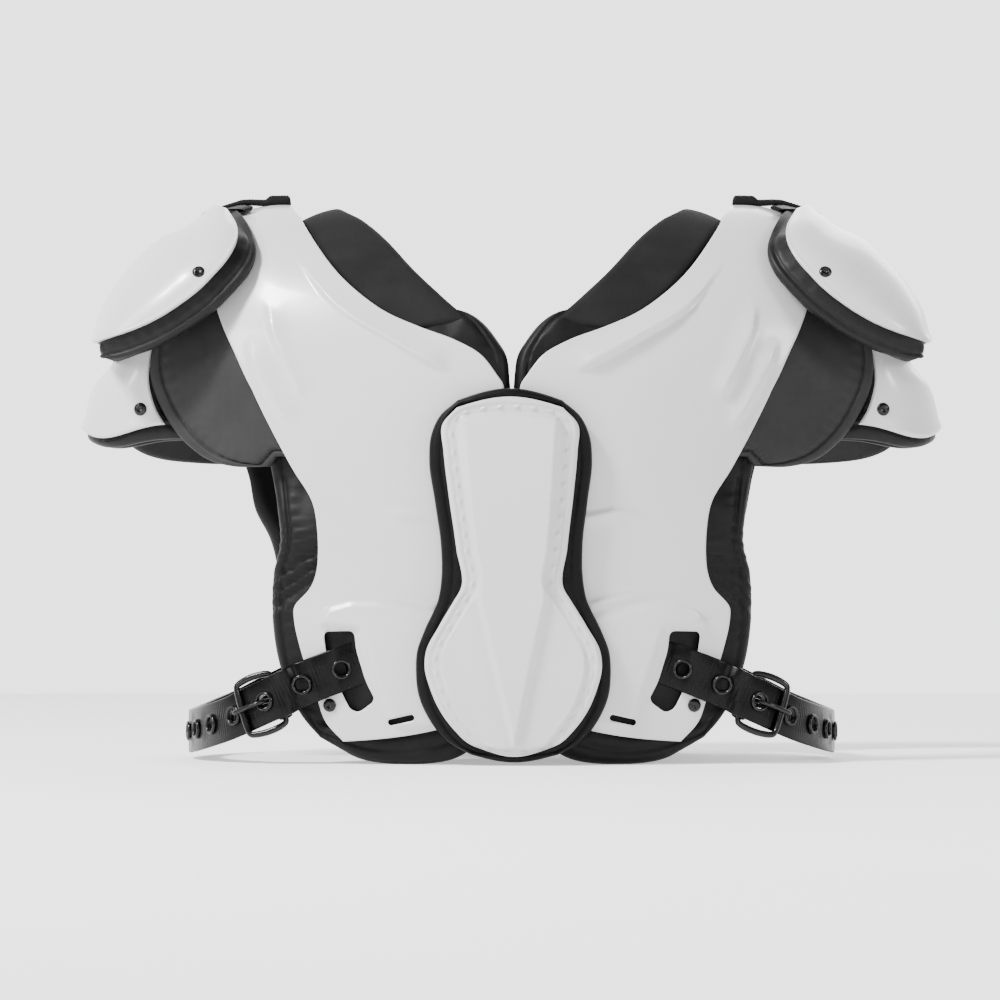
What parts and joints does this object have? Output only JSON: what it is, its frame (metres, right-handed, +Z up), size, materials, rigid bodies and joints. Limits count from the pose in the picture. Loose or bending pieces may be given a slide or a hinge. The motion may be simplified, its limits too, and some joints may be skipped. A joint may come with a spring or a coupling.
{
  "type": "football shoulder pads",
  "caption": "Hard-shelled shoulder and chest protector: white plastic arches over padded liners, with shoulder caps, arm cups, armpit flaps, a breastbone plate and buckled side belts.",
  "frame": {"origin": "middle of the bounding box in X and Y, on the floor under the liners' lower hems", "axes": "+Z up towards the neck opening, -Y the way the wearer faces, +X towards the wearer's left arm"},
  "size_m": [0.618, 0.3294, 0.4035],
  "materials": {
    "white_shell": "satin white moulded plastic",
    "pad_fabric": "black coated woven fabric over foam",
    "collar_knit": "matt black stretch fabric over foam",
    "belt_vinyl": "glossy black ribbed coated strap",
    "dark_metal": "black enamelled metal"
  },
  "bodies": {
    "root": {"arch_plate_left": "white_shell", "arch_plate_right": "white_shell", "neck_collar_left": "collar_knit", "neck_collar_right": "collar_knit", "front_flap_left": "pad_fabric", "front_flap_right": "pad_fabric", "back_flap_left": "pad_fabric", "back_flap_right": "pad_fabric", "shoulder_cap_left": "white_shell", "shoulder_cap_right": "white_shell", "cap_pad_left": "pad_fabric", "cap_pad_right": "pad_fabric", "arm_cup_left": "white_shell", "arm_cup_right": "white_shell", "cup_pad_left": "pad_fabric", "cup_pad_right": "pad_fabric", "side_belt_left": "belt_vinyl", "side_belt_right": "belt_vinyl", "buckle_strap_left": "belt_vinyl", "buckle_strap_right": "belt_vinyl", "buckle_frame_left": "dark_metal", "buckle_frame_right": "dark_metal", "buckle_prong_left": "dark_metal", "buckle_prong_right": "dark_metal", "crown_webbing_left": "pad_fabric", "crown_webbing_right": "pad_fabric", "cap_rivet_front_left": "dark_metal", "cap_rivet_front_right": "dark_metal", "cap_rivet_top_left": "dark_metal", "cap_rivet_top_right": "dark_metal", "cup_rivet_left": "dark_metal", "cup_rivet_right": "dark_metal", "plate_rivet_left": "dark_metal", "plate_rivet_right": "dark_metal", "eyelet_1_left": "dark_metal", "eyelet_1_right": "dark_metal", "eyelet_2_left": "dark_metal", "eyelet_2_right": "dark_metal", "eyelet_3_left": "dark_metal", "eyelet_3_right": "dark_metal", "eyelet_4_left": "dark_metal", "eyelet_4_right": "dark_metal", "eyelet_5_left": "dark_metal", "eyelet_5_right": "dark_metal", "eyelet_6_left": "dark_metal", "eyelet_6_right": "dark_metal", "eyelet_7_left": "dark_metal", "eyelet_7_right": "dark_metal", "body_liner_left": "pad_fabric", "body_liner_right": "pad_fabric", "sternum_pad": "pad_fabric", "sternum_plate": "white_shell", "back_pad": "pad_fabric", "back_plate": "white_shell"}
  },
  "joints": []
}
